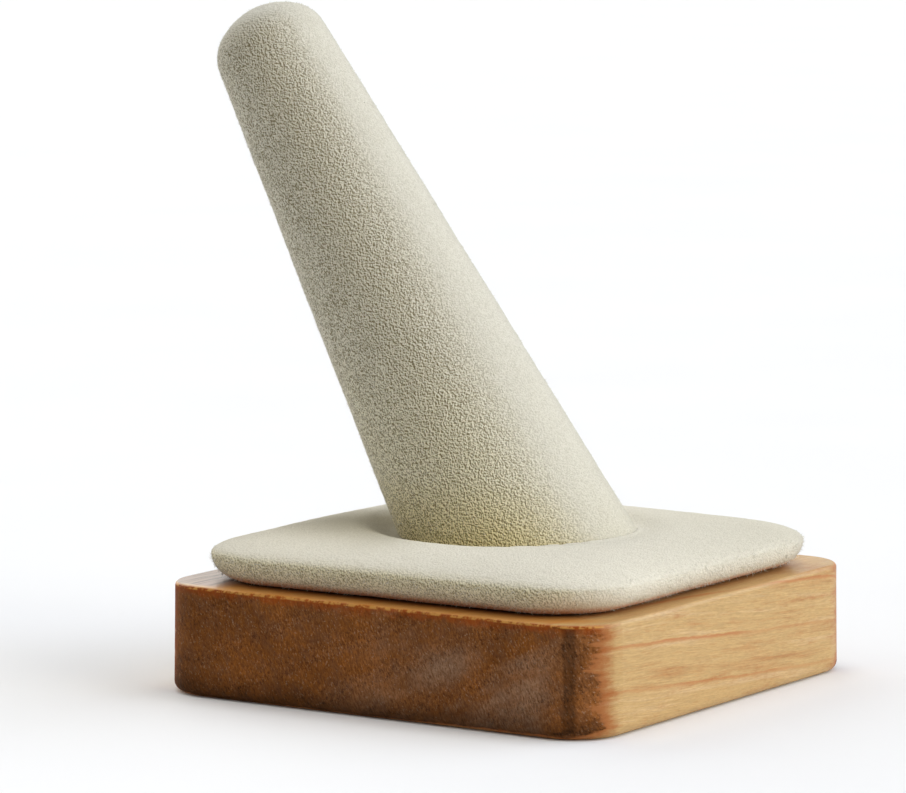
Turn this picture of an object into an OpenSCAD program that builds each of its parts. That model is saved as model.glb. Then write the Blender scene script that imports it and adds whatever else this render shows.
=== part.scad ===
// Ring display stand: a tapered finger that leans over a padded deck on a hardwood block.
// The block rests on z = 0 about the origin, its front faces -Y and the finger leans towards +Y.

/* [Base block] */
// Side of the square block, at its foot
block_w = 54; // [46:0.5:70]
// Height of the block
block_h = 11.6; // [10:0.1:18]
// Radius of the upright corners, at the foot
block_corner_r = 5.7; // [3:0.1:9]
// How far each side leans in on its way to the top
block_draft = 0.16; // [0:0.02:0.6]
// Radius rolled on the lower edge
block_foot_r = 1.1; // [0.3:0.1:2]
// Radius eased on the top edge
block_top_r = 0.45; // [0.2:0.05:1]

/* [Deck] */
// How far the covered deck stands in from the block's foot
deck_margin = 1.75; // [0.5:0.05:6]
// Radius of the deck's corners, seen from above
deck_corner_r = 9.4; // [7.5:0.1:14]
// Thickness of the board inside the deck
board_t = 2; // [1.6:0.1:5]
// Thickness of the padding on the board
padding_t = 0.65; // [0.4:0.05:2]
// Radius that the cover takes as it rolls under the board
deck_under_r = 2.2; // [1.2:0.1:2.6]
// Radius of the deck's nose, above its widest line
deck_nose_r = 1.5; // [1:0.05:1.8]
// Radius of the soft shoulder between the nose and the top
deck_shoulder_r = 20; // [10:0.5:30]
// Width of the cover's hem, turned under the board
deck_hem_w = 9; // [6:0.5:14]

/* [Finger] */
// Lean of the finger from upright
finger_lean = 31.5; // [0:0.5:36]
// Length of the finger along its axis, from the deck to the tip
finger_len = 63.4; // [45:0.5:80]
// Diameter of the covered finger where its axis meets the deck
finger_foot_d = 22.8; // [20:0.1:26]
// Diameter that the straight taper comes down to at the length of the tip
finger_tip_d = 11.7; // [10.6:0.1:18]
// Radius of the shoulder round the tip
tip_shoulder_r = 4.2; // [2:0.1:4.6]
// Angle from the axis at which the domed end meets the shoulder
tip_dome_angle = 40; // [25:1:60]
// Where the finger's axis meets the deck, from the middle of the block
finger_foot_y = -0.3; // [-3:0.1:3]
// Width of the cover's hem, turned under the foot
finger_hem_w = 4.5; // [3:0.1:6]
// Number of snips that let this hem lie flat
foot_snips = 12; // [8:1:20]

/* [Suede] */
// Thickness of the suede
suede_t = 0.8; // [0.5:0.05:1]
// Gap where two cut edges of the suede meet
suede_seam_gap = 0.3; // [0.15:0.05:0.8]

/* [Screw] */
// Diameter of the screw's shank
screw_d = 3.5; // [2.5:0.1:4.5]
// Diameter of the screw's head
screw_head_d = 6.8; // [5.6:0.1:8]
// Height of the upright rim round the head
head_rim_h = 0.35; // [0.2:0.05:0.6]
// Length of the screw's point
screw_point_len = 4.5; // [3:0.1:6]
// Depth of the head inside the block
head_recess = 1.6; // [0.6:0.1:4]
// How far the screw runs into the finger
screw_bite = 11; // [8:0.5:13]
// How far the screw stands behind the foot of the finger's axis
screw_setback = 2; // [0.5:0.1:4]
// Room round the shank and the head
screw_room = 0.3; // [0.15:0.05:0.6]
// Width of each arm of the cross-shaped recess
drive_w = 1.1; // [0.8:0.05:1.4]
// Depth of this recess
drive_depth = 1.2; // [0.8:0.05:1.6]
// Metal left round it on top of the head
drive_wall = 1.4; // [1.4:0.05:2]

/* [Hidden] */

// Round faces are true ones, and this only sets how finely they are drawn
$fn = 96;
// Cuts reach past the faces that they leave through
past = 1;

deck_w = block_w - 2 * deck_margin;
board_z = block_h + suede_t;
padding_z = board_z + board_t;
deck_z = padding_z + padding_t + suede_t;

finger_slope = (finger_foot_d - finger_tip_d) / 2 / finger_len;
finger_taper = atan(finger_slope);
// The shoulder's centre lies this far off the axis, and this far along it
shoulder_x = (finger_tip_d / 2 - tip_shoulder_r * (1 / cos(finger_taper) - finger_slope))
             / (1 - finger_slope * tan(tip_dome_angle / 2));
shoulder_s = finger_len - tip_shoulder_r - shoulder_x * tan(tip_dome_angle / 2);
dome_r = tip_shoulder_r + shoulder_x / sin(tip_dome_angle);

screw_y = finger_foot_y + screw_setback;
screw_tip_z = deck_z + suede_t + screw_bite;
screw_hole_d = screw_d + 2 * screw_room;
head_cone_h = (screw_head_d - screw_d) / 2;
head_top_z = head_recess + head_rim_h;
screw_point_z = screw_tip_z - screw_point_len;
drive_len = screw_head_d - 2 * drive_wall;

// The seam ends where the shoulder of the tip begins to turn
seam_end_s = shoulder_s - tip_shoulder_r;

// Flats drawn along the arcs of the deck's edge
under_steps = 6;
nose_steps = 4;
shoulder_steps = 5;

// A slice of a disc between two angles, less than 180 degrees apart
module sector(centre, r, from, to) {
    mid = (from + to) / 2;
    reach = 2 * r / cos((to - from) / 2);
    translate(centre)
        intersection() {
            circle(r = r);
            polygon([[0, 0], reach * [cos(from), sin(from)], reach * [cos(mid), sin(mid)],
                     reach * [cos(to), sin(to)]]);
        }
}

// A square slab with round corners, whose edge follows the profile given as its child. The
// profile runs outwards from the corner's axis along x. Each pair in levels is the foot and
// top of a stretch that is solid on that axis, which the middle of the slab carries on.
module edged_slab(w, corner_r, levels) {
    side = w - 2 * corner_r;
    for (turn = [0:90:270]) {
        rotate(turn) {
            translate([side / 2, side / 2, 0])
                rotate_extrude(angle = 90)
                    children();
            translate([side / 2, side / 2, 0])
                rotate([90, 0, 0])
                    linear_extrude(side)
                        children();
        }
    }
    for (level = levels) {
        translate([-side / 2, -side / 2, level[0]])
            cube([side, side, level[1] - level[0]]);
    }
}

// The shape of the block's edge: a rolled foot, a side with draft and an eased top corner
module block_profile() {
    foot_c = [block_corner_r - block_foot_r, block_foot_r];
    side_angle = atan(block_draft / block_h);
    side_way = [cos(side_angle), sin(side_angle)];
    // The side starts where it is tangent to the rolled foot
    side_foot = foot_c + block_foot_r * side_way;
    top_z = block_h - block_top_r;
    side_in = (top_z - side_foot[1]) * tan(side_angle) + block_top_r / cos(side_angle);
    top_c = [side_foot[0] - side_in, top_z];
    polygon([[0, 0], [foot_c[0], 0], side_foot, top_c + block_top_r * side_way,
             [top_c[0], block_h], [0, block_h]]);
    sector(foot_c, block_foot_r, -90, side_angle);
    sector(top_c, block_top_r, side_angle, 90);
}

// The hole for the screw: clearance, countersink and a wider way in for the head
module screw_way() {
    translate([0, screw_y, 0]) {
        translate([0, 0, -past])
            cylinder(h = deck_z + 2 * past, d = screw_hole_d);
        translate([0, 0, -past])
            cylinder(h = head_top_z + past, d = screw_head_d + 2 * screw_room);
        translate([0, 0, head_top_z])
            cylinder(h = head_cone_h, d1 = screw_head_d, d2 = screw_d);
    }
}

module base_block() {
    color("#b07a45")
        difference() {
            edged_slab(block_w, block_corner_r, [[0, block_h]])
                block_profile();
            screw_way();
        }
}

// Points along an arc, after its first one, which the outline already has
function arc_on(centre, r, from, to, steps) =
    [for (k = [1:steps])
        let (angle = from + (to - from) * k / steps)
        centre + r * [cos(angle), sin(angle)]];

// The shape of the deck's edge, with its outside taken in by inset: a roll under the board,
// a small nose and a long soft shoulder that is tangent to the nose and to the top
module deck_profile(inset) {
    top_z = deck_z - block_h;
    under_c = [deck_corner_r - deck_under_r, deck_under_r];
    nose_c = [deck_corner_r - deck_nose_r, deck_under_r];
    drop = deck_under_r - (top_z - deck_shoulder_r);
    shoulder_in = sqrt(pow(deck_shoulder_r - deck_nose_r, 2) - pow(drop, 2));
    shoulder_c = nose_c - [shoulder_in, drop];
    nose_end = atan2(drop, shoulder_in);
    translate([0, block_h])
        polygon(concat(
            [[0, inset], [under_c[0], inset]],
            arc_on(under_c, deck_under_r - inset, -90, 0, under_steps),
            arc_on(nose_c, deck_nose_r - inset, 0, nose_end, nose_steps),
            arc_on(shoulder_c, deck_shoulder_r - inset, nose_end, 90, shoulder_steps),
            [[0, top_z - inset]]));
}

// One layer of what the cover is wrapped round, between two heights
module deck_layer(z0, z1) {
    difference() {
        edged_slab(deck_w, deck_corner_r, [[z0, z1]])
            intersection() {
                deck_profile(suede_t);
                translate([0, z0])
                    square([deck_corner_r, z1 - z0]);
            }
        screw_way();
    }
}

module deck_board() {
    color("#8d6c4c")
        deck_layer(board_z, padding_z);
}

module deck_padding() {
    color("#e8e4d6")
        deck_layer(padding_z, deck_z - suede_t);
}

// The hem leaves the middle of the board bare, and is slit at each corner where it folds
module deck_hem_opening() {
    open_w = deck_w - 2 * deck_hem_w;
    slit_len = deck_w / sqrt(2) - deck_corner_r * (sqrt(2) - 1) - deck_under_r;
    translate([-open_w / 2, -open_w / 2, block_h - past])
        cube([open_w, open_w, suede_t + past]);
    for (turn = [45:90:315]) {
        rotate(turn)
            translate([0, -suede_seam_gap / 2, block_h - past])
                cube([slit_len, suede_seam_gap, suede_t + past]);
    }
}

module deck_cover() {
    color("#e3ddcb")
        difference() {
            edged_slab(deck_w, deck_corner_r, [[block_h, board_z], [deck_z - suede_t, deck_z]])
                difference() {
                    deck_profile(0);
                    deck_profile(suede_t);
                }
            deck_hem_opening();
            screw_way();
        }
}

// Half of the finger's outline, taken in by inset: a straight taper, a shoulder and a dome
module finger_profile(inset) {
    shoulder_c = [shoulder_x, shoulder_s];
    shoulder_end = 90 - tip_dome_angle;
    side_top = shoulder_c + (tip_shoulder_r - inset) * [cos(finger_taper), sin(finger_taper)];
    dome_foot = shoulder_c + (tip_shoulder_r - inset) * [cos(shoulder_end), sin(shoulder_end)];
    dome_c = [0, finger_len - dome_r];
    foot_s = -finger_foot_d;
    foot_x = side_top[0] + (side_top[1] - foot_s) * finger_slope;
    polygon([[0, foot_s], [foot_x, foot_s], side_top, dome_foot, [0, finger_len - inset]]);
    sector(shoulder_c, tip_shoulder_r - inset, finger_taper, shoulder_end);
    sector(dome_c, dome_r - inset, shoulder_end, 90);
}

// The finger's form, leaned over and cut level at its foot
module finger_solid(inset, foot_z) {
    big = 4 * finger_foot_d;
    difference() {
        translate([0, finger_foot_y, deck_z])
            rotate([-finger_lean, 0, 0])
                rotate_extrude()
                    finger_profile(inset);
        translate([-big / 2, -big / 2, foot_z - big])
            cube(big);
    }
}

module finger_core() {
    color("#c9a77c")
        difference() {
            finger_solid(suede_t, deck_z + suede_t);
            translate([0, screw_y, deck_z])
                cylinder(h = screw_point_z - deck_z, d = screw_d);
            translate([0, screw_y, screw_point_z])
                cylinder(h = screw_point_len, d1 = screw_d, d2 = 0);
        }
}

// The hem under the foot, open in the middle and snipped halfway through all round
module finger_hem_opening() {
    open_r = finger_foot_d / 2 - finger_hem_w;
    translate([0, finger_foot_y, deck_z - past]) {
        cylinder(h = suede_t + past, r = open_r);
        for (k = [0:foot_snips - 1]) {
            rotate(360 * (k + 0.5) / foot_snips)
                translate([0, -suede_seam_gap / 2, 0])
                    cube([open_r + finger_hem_w / 2, suede_seam_gap, suede_t + past]);
        }
    }
}

// The seam runs up the back of the finger, on the side that it leans towards
module finger_seam() {
    translate([0, finger_foot_y, deck_z])
        rotate([-finger_lean, 0, 0])
            translate([-suede_seam_gap / 2, 0, -finger_foot_d])
                cube([suede_seam_gap, finger_foot_d, finger_foot_d + seam_end_s]);
}

module finger_cover() {
    color("#e3ddcb")
        difference() {
            finger_solid(0, deck_z);
            finger_solid(suede_t, deck_z + suede_t);
            finger_hem_opening();
            finger_seam();
        }
}

// The cross-shaped recess that a driver turns
module screw_drive() {
    for (turn = [0, 90]) {
        rotate(turn)
            translate([-drive_len / 2, -drive_w / 2, -past])
                cube([drive_len, drive_w, drive_depth + past]);
    }
}

module finger_screw() {
    color("#c8c8c4")
        translate([0, screw_y, 0])
            difference() {
                union() {
                    translate([0, 0, head_recess])
                        cylinder(h = head_rim_h, d = screw_head_d);
                    translate([0, 0, head_top_z])
                        cylinder(h = head_cone_h, d1 = screw_head_d, d2 = screw_d);
                    translate([0, 0, head_top_z])
                        cylinder(h = screw_point_z - head_top_z, d = screw_d);
                    translate([0, 0, screw_point_z])
                        cylinder(h = screw_point_len, d1 = screw_d, d2 = 0);
                }
                translate([0, 0, head_recess])
                    screw_drive();
            }
}

base_block();
deck_board();
deck_padding();
deck_cover();
finger_core();
finger_cover();
finger_screw();
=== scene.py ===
from functools import partial
from math import atan, cos, pi, radians, sin, tan

import bpy
import numpy as np
from bpy.props import FloatProperty, FloatVectorProperty, IntProperty, PointerProperty
from mathutils import Matrix, Vector, noise


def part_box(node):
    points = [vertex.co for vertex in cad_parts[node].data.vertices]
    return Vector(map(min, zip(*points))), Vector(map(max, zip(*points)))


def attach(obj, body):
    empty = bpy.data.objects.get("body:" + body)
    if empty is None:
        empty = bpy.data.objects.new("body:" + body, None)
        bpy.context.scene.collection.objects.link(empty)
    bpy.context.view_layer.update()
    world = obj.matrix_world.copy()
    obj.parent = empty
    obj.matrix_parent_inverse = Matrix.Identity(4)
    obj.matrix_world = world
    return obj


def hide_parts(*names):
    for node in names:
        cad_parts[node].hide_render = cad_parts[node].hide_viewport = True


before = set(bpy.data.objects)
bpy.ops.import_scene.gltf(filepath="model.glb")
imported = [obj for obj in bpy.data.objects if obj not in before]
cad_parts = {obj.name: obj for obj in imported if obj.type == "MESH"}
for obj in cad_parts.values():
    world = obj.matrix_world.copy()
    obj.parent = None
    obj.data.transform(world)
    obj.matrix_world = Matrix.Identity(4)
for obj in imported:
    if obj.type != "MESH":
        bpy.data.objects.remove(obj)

bl_info = {
    "name": "Ring Display Stand",
    "version": (1, 0, 0),
    "blender": (4, 5, 0),
    "location": "View3D > Sidebar > Ring Stand",
    "description": "Dresses the packed ring display stand: suede covers, foam, hardwood and a studio",
    "category": "Object",
}

MM = 0.001
ROOT = "root"
# Sizes that more than one piece keeps to, in millimetres
DECK_CORNER = 9.4
SCREW_HOLE_AT, SCREW_HOLE_R = np.array([0, 1.7]), 2.05


def node_box(node):
    """Lowest and highest corner of a CAD node, in millimetres."""
    return [[v / MM for v in corner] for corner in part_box(node)]


BLOCK_HIGH = node_box("base_block")[1]
BOARD_HIGH = node_box("deck_board")[1]
COVER_LOW, COVER_HIGH = node_box("deck_cover")
CORE_LOW = node_box("finger_core")[0]


def linear(hex_colour):
    """An sRGB hex colour as linear red, green, blue and alpha."""
    channels = [int(hex_colour[i:i + 2], 16) / 255 for i in (1, 3, 5)]
    return tuple(c / 12.92 if c <= 0.04045 else ((c + 0.055) / 1.055) ** 2.4 for c in channels) + (1.0,)


def length(name, description, millimetres):
    return FloatProperty(name=name, description=description, default=millimetres * MM, unit="LENGTH")


def colour(name, description, hex_colour):
    return FloatVectorProperty(name=name, description=description, subtype="COLOR", size=4,
                               min=0, max=1, default=linear(hex_colour))


def angle(name, description, degrees):
    return FloatProperty(name=name, description=description, default=radians(degrees), subtype="ANGLE")


def strength(name, description, default):
    return FloatProperty(name=name, description=description, default=default)


class StandSizes(bpy.types.PropertyGroup):
    """Sizes of the soft pieces, which the solids keep plain"""
    deck_half: length("Deck half width", "From the middle to the deck's widest line", COVER_HIGH[0])
    deck_corner: length("Deck corner radius", "Radius of the deck's corners, seen from above", DECK_CORNER)
    nose_height: length("Nose height", "Height of the deck's widest line", 14.33)
    shoulder_in: length("Shoulder width", "How far the rounded edge reaches in from the widest line", 7.2)
    under_in: length("Under-roll width", "How far the cover rolls in below the widest line", 3.55)
    crown: length("Crown", "How far the padding lifts the middle of the deck", 1.33)
    foot_sink: length("Foot dish", "Width of the dish that the finger presses into the deck", 5.5)
    suede: length("Suede", "Thickness of the suede", 0.8)
    hem: length("Deck hem", "Width of the hem under the deck", 9.0)
    finger_foot: length("Finger foot radius", "Radius of the covered finger on its axis at the deck", 11.4)
    finger_length: length("Finger length", "Along the axis, from the deck to the tip", 63.4)
    finger_tip: length("Finger tip radius", "Radius that the straight taper comes down to", 5.85)
    tip_shoulder: length("Tip shoulder radius", "Radius of the shoulder round the tip", 4.2)
    dome_angle: angle("Dome angle", "Angle from the axis at which dome and shoulder meet", 40)
    finger_lean: angle("Finger lean", "Lean of the finger from upright", 31.5)
    finger_y: length("Finger place", "Where the finger's axis meets the deck", -0.3)
    finger_hem: length("Finger hem", "Width of the hem under the finger", 4.5)
    nap: length("Nap", "Length of the raised fibres of the suede", 0.34)


class StandColours(bpy.types.PropertyGroup):
    """Colours of the finishes"""
    suede: colour("Suede", "Ivory face of the suede", "#CBC8BC")
    deck_suede: colour("Deck suede", "Ivory face of the suede on the deck", "#DAD6CA")
    # Painted relief of the nap: painted highlight on the tufts and painted shade in the hollows
    painted_tuft_highlight: colour("Tufts", "Tips of the nap where it stands open", "#FCF8EA")
    suede_mid: colour("Nap", "Nap between tufts and hollows", "#DDD6BE")
    painted_hollow_shade: colour("Hollows", "What shows between the tufts", "#867A50")
    # Painted light on the finger: warm bounce at its foot and shade at its tip
    painted_foot_bounce: colour("Suede at the foot", "Tint that handling leaves at the finger's foot", "#FFF4C4")
    painted_tip_shade: colour("Suede at the tip", "Tint that handling leaves at the finger's tip", "#EAE9E5")
    # Painted warm bounce and shade on the deck's lower edge
    painted_edge_bounce: colour("Stain", "Tint that the lacquer leaves on the deck's lower edge", "#FFB884")
    # Painted warm shade on the deck's side turned from the light
    painted_warm_shade: colour("Yellowed deck", "Tint of the open nap round the deck's edge", "#F4EDD0")
    # Painted shadow of the finger in the dish behind it
    painted_dish_shadow: colour("Dust", "Tint of the dust in the dish behind the finger", "#C8C5BA")
    fibre: colour("Loose fibres", "Raised fibres of the suede", "#E6E2D6")
    timber: colour("Long grain", "Tan of the long grain", "#BA9A67")
    timber_pale: colour("Pale streaks", "Earlywood streaks", "#C2A376")
    timber_red: colour("Red streaks", "Latewood streaks", "#AC7F4E")
    latewood: colour("Latewood", "Thin red line that ends each yearly ring", "#AE7040")
    end_grain: colour("End grain", "End grain, which drinks in the lacquer", "#7C4A1E")
    end_dark: colour("Pores", "Open pores of the end grain", "#2A1204")
    arris: colour("Arris", "Rusty brown under the worked edges", "#94420A")
    amber: colour("Amber", "Amber where end grain turns into long grain", "#994F19")
    bead: colour("Beads", "Pale torn fibres on the arris", "#C08A45")
    dulled: colour("Dulled", "Greyish brown where the end grain is dry", "#6E4C36")
    # Also the colour of painted glints, the highlights on pale specks of the end grain
    haze_and_glints: colour("Haze", "Milky lacquer over the end grain", "#B0957D")
    # Painted reflection: the grey sheen at the far left of the top
    painted_sheen_grey: colour("Dried", "Grey where the lacquer on the top has worn off", "#857166")
    # Ochre of the band on the top round the deck
    ochre: colour("Ochre", "Lacquer that has pooled round the deck", "#B97A34")
    # Painted shade in the crevice where the deck sits
    painted_crevice_shade: colour("Glue line", "Dark line of glue and dust where the deck sits", "#3A1606")
    board: colour("Hardboard", "Brown of the pressed board", "#8D6C4C")
    foam: colour("Foam", "Off-white of the padding", "#E8E4D6")
    softwood: colour("Core", "Turned softwood of the core", "#C9A77C")
    zinc: colour("Zinc", "Bright zinc plating", "#C8C8C4")
    floor: colour("Floor", "Paper of the floor", "#EDEDED")


class StudioSettings(bpy.types.PropertyGroup):
    """Light of the studio"""
    front: strength("Front light", "Strength of the warm light in front of the finger", 1.72)
    side: strength("Side light", "Strength of the cool light on the right, which is the key", 2.0)
    back: strength("Back light", "Strength of the light that the backdrop throws", 1.95)
    fill: strength("Fill light", "Strength of the weak light behind on the left", 0.56)
    top: strength("Top light", "Strength of the light overhead", 1.24)
    backdrop: strength("Backdrop", "Brightness of the white surroundings", 1.05)
    seed: IntProperty(name="Seed", description="Start of the random draws", default=11)


# Kinds of node that the finishes use often
MATH, VECTOR, RANGE = "Math", "VectorMath", "MapRange"
NOISE, MIX, RAMP = "TexNoise", "Mix", "ValToRGB"
SPLIT, JOIN, SURFACE = "SeparateXYZ", "CombineXYZ", "BsdfPrincipled"
# The setting of a range that starts and ends softly
EASED = {"interpolation_type": "SMOOTHSTEP"}


def add(tree, kind, links=(), **settings):
    """Adds a node with its settings. Its links go by name, or in order over the inputs that the settings leave
    in use. A node or a socket is joined to its input, and anything else is the input's value."""
    node = tree.nodes.new("ShaderNode" + kind)
    stops = settings.pop("stops", ())
    for name, value in settings.items():
        setattr(node, name, value)
    if stops:
        elements = node.color_ramp.elements
        while len(elements) < len(stops):
            elements.new(0.5)
        for element, (place, tone) in zip(elements, stops):
            element.position = place
            element.color = tone
    if isinstance(links, dict):
        pairs = [(node.inputs[name], value) for name, value in links.items()]
    else:
        pairs = zip([socket for socket in node.inputs if socket.enabled], links)
    for socket, value in pairs:
        if isinstance(value, bpy.types.Node):
            value = next(output for output in value.outputs if output.enabled)
        if isinstance(value, bpy.types.NodeSocket):
            tree.links.new(value, socket)
        else:
            socket.default_value = value
    return node


def new_material(name):
    """An empty material, and the call that adds nodes to it."""
    material = bpy.data.materials.new(name)
    material.use_nodes = True
    material.node_tree.nodes.clear()
    return material, partial(add, material.node_tree)


def finish_material(material, surface, relief=None, **settings):
    """Gives the material its surface, on which a bump shows the relief."""
    tree = material.node_tree
    if relief:
        surface["Normal"] = add(tree, "Bump", relief, **settings)
    add(tree, "OutputMaterial", {"Surface": add(tree, SURFACE, surface)})
    return material


def millimetres(node):
    """The place on the object, in millimetres, so that each pattern's scale is features per millimetre."""
    place = node("TexCoord").outputs["Object"]
    return node(VECTOR, (place, 1 / MM), operation="SCALE")


def layered(node, base, layers):
    """Lays tones over a base colour, in order. Each layer is a way to mix and a tone, and then the factors
    whose product says how much of it shows: a node, a number, or a tuple for a range that is eased."""
    for mode, tone, *factors in layers:
        factors = [node(RANGE, factor, **EASED) if isinstance(factor, tuple) else factor
                   for factor in factors or [1.0]]
        share = factors[0]
        for factor in factors[1:]:
            share = node(MATH, (share, factor), operation="MULTIPLY")
        base = node(MIX, (share, base, tone), data_type="RGBA", blend_type=mode)
    return base


def finger_painted_light(node, spot, relief_share, colours):
    """Painted light on the finger where the relief shows: a warm painted bounce at its foot and painted shade at
    its tip.
    """
    height = node(RANGE, (spot["Z"], 15.5, 71.0))
    foot_to_tip_light = node(RAMP, [height], stops=[
        (0.0, colours.painted_foot_bounce), (0.13, linear("#FFFDF0")), (0.36, linear("#F0EFEA")), (0.95, colours.painted_tip_shade)])
    return [("MULTIPLY", foot_to_tip_light, relief_share)]


def deck_painted_light(node, spot, relief_share, colours):
    """Painted light on the deck: warm bounce and shade on its lower edge, the finger's shadow in the dish behind it
    on the left, warm shade on the side turned from the light, and shade on the top towards the right front corner."""
    # The dish is an oval about the finger's foot, whose half widths are 11.4 and 13.4 mm
    flat = node(JOIN, (spot["X"], spot["Y"]))
    oval = node(VECTOR, (flat, (1 / 11.4, 1 / 13.4, 0), (0, -1.6 / 13.4, 0)), operation="MULTIPLY_ADD")
    reach = node(VECTOR, [oval], operation="LENGTH")
    towards_corner = node(MATH, (spot["X"], spot["Y"]), operation="SUBTRACT")
    painted_right_shade = node(RANGE, (towards_corner, 10.0, 36.0))
    upper = node(RANGE, (spot["Z"], 13.6, 15.2))
    # Painted warm bounce and shade on the deck's lower edge
    return [("MULTIPLY", colours.painted_edge_bounce, (spot["Z"], 11.9, 12.8, 1.0, 0.0)),
            # Painted shadow of the finger in the dish behind it on the left
            ("MULTIPLY", colours.painted_dish_shadow, (reach, 1.0, 2.2, 1.0, 0.0), (spot["Y"], -2.0, 7.0),
             (spot["X"], 6.0, -8.0)),
            # Painted warm shade on the side turned from the light
            ("MULTIPLY", colours.painted_warm_shade, relief_share),
            # Painted shade on the top towards the right front corner
            ("MULTIPLY", linear("#F0F0EE"), painted_right_shade, upper)]


def suede_material(name, colours, face, painted_light_layers, most_relief, left):
    """Imitation suede: a short nap that scatters light. Its colour holds painted light: smooth and pale, with a
    painted shade on the side towards the light, and on the left and behind a painted relief of highlighted pale
    tufts over shaded olive hollows."""
    material, node = new_material(name)
    at = millimetres(node)
    spot = node(SPLIT, [at]).outputs
    # Tufts of the nap are about 0.2 mm wide and lie in clumps of about 1 mm. Each tuft gets a painted highlight on
    # its right flank and a painted shade on its left, from the difference between two copies of the noise set a
    # little apart
    aside = node(VECTOR, (at, (0.05, -0.07, 0.08)), operation="ADD")
    tufts, flank = (node(NOISE, {"Vector": place, "Scale": 4.6, "Detail": 2.0, "Roughness": 0.6,
                                 "Distortion": 0.3}) for place in (at, aside))
    clumps = node(NOISE, {"Vector": at, "Scale": 1.0, "Detail": 1.0, "Roughness": 0.5})
    # Single fibres of 0.02 mm are too fine to show, so the finest grain is drawn at 0.11 mm
    fibres = node(NOISE, {"Vector": at, "Scale": 9.0, "Detail": 0.0})
    rise = node(MATH, (clumps, 0.45, tufts), operation="MULTIPLY_ADD")
    nap = node(MATH, (fibres, 0.45, rise), operation="MULTIPLY_ADD")
    # The painted relief shows most on the left, the side turned from the light, and behind, where the bump is
    # stronger too. Elsewhere a little of it still shows
    normal = node("NewGeometry").outputs["Normal"]
    facing = node(VECTOR, (normal, left), operation="DOT_PRODUCT")
    behind = node(VECTOR, (normal, (0.60, 0.80, 0.0)), operation="DOT_PRODUCT")
    rough = node(MATH, (facing, behind), operation="MAXIMUM")
    relief_share = node(RANGE, (rough, 0.22, 0.93, 0.14, most_relief), **EASED)
    # Painted relief in the colour: highlighted tufts over shaded hollows
    lean = node(MATH, (tufts, flank), operation="SUBTRACT")
    speckle = node(MATH, (fibres, 0.2, 0.4), operation="MULTIPLY_ADD")
    grain = node(RAMP, [node(MATH, (lean, 2.5, speckle), operation="MULTIPLY_ADD")], stops=[
        (0.22, colours.painted_hollow_shade), (0.5, colours.suede_mid), (0.75, colours.painted_tuft_highlight)])
    # Painted shade: the side turned towards the light is darkened a little
    lit_side_shade = node(RANGE, (facing, -0.45, -0.2, 0.88))
    tone = layered(node, face, [("MIX", grain, relief_share), ("MULTIPLY", lit_side_shade),
                                *painted_light_layers(node, spot, relief_share, colours)])
    raised = node(RANGE, (relief_share, 0.0, 1.0, 0.31, 0.76))
    relief = {"Height": nap, "Strength": raised, "Distance": 0.7 * MM}
    return finish_material(material, {
        "Base Color": tone, "Roughness": 0.95, "IOR": 1.5, "Specular IOR Level": 0.2,
        "Sheen Weight": 0.25, "Sheen Roughness": 0.45, "Sheen Tint": linear("#FFFDF6")}, relief)


def fibre_material(name, colours):
    """Loose suede fibres: single pale hairs, which catch the light at the outline."""
    material, node = new_material(name)
    tint = node(NOISE, {"Vector": millimetres(node), "Scale": 0.9, "Detail": 1.0})
    tone = node(MIX, (tint, colours.suede, colours.fibre), data_type="RGBA")
    return finish_material(material, {"Base Color": tone, "Roughness": 0.8, "Specular IOR Level": 0.2,
                                      "Sheen Weight": 0.3, "Sheen Roughness": 0.5})


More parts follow.
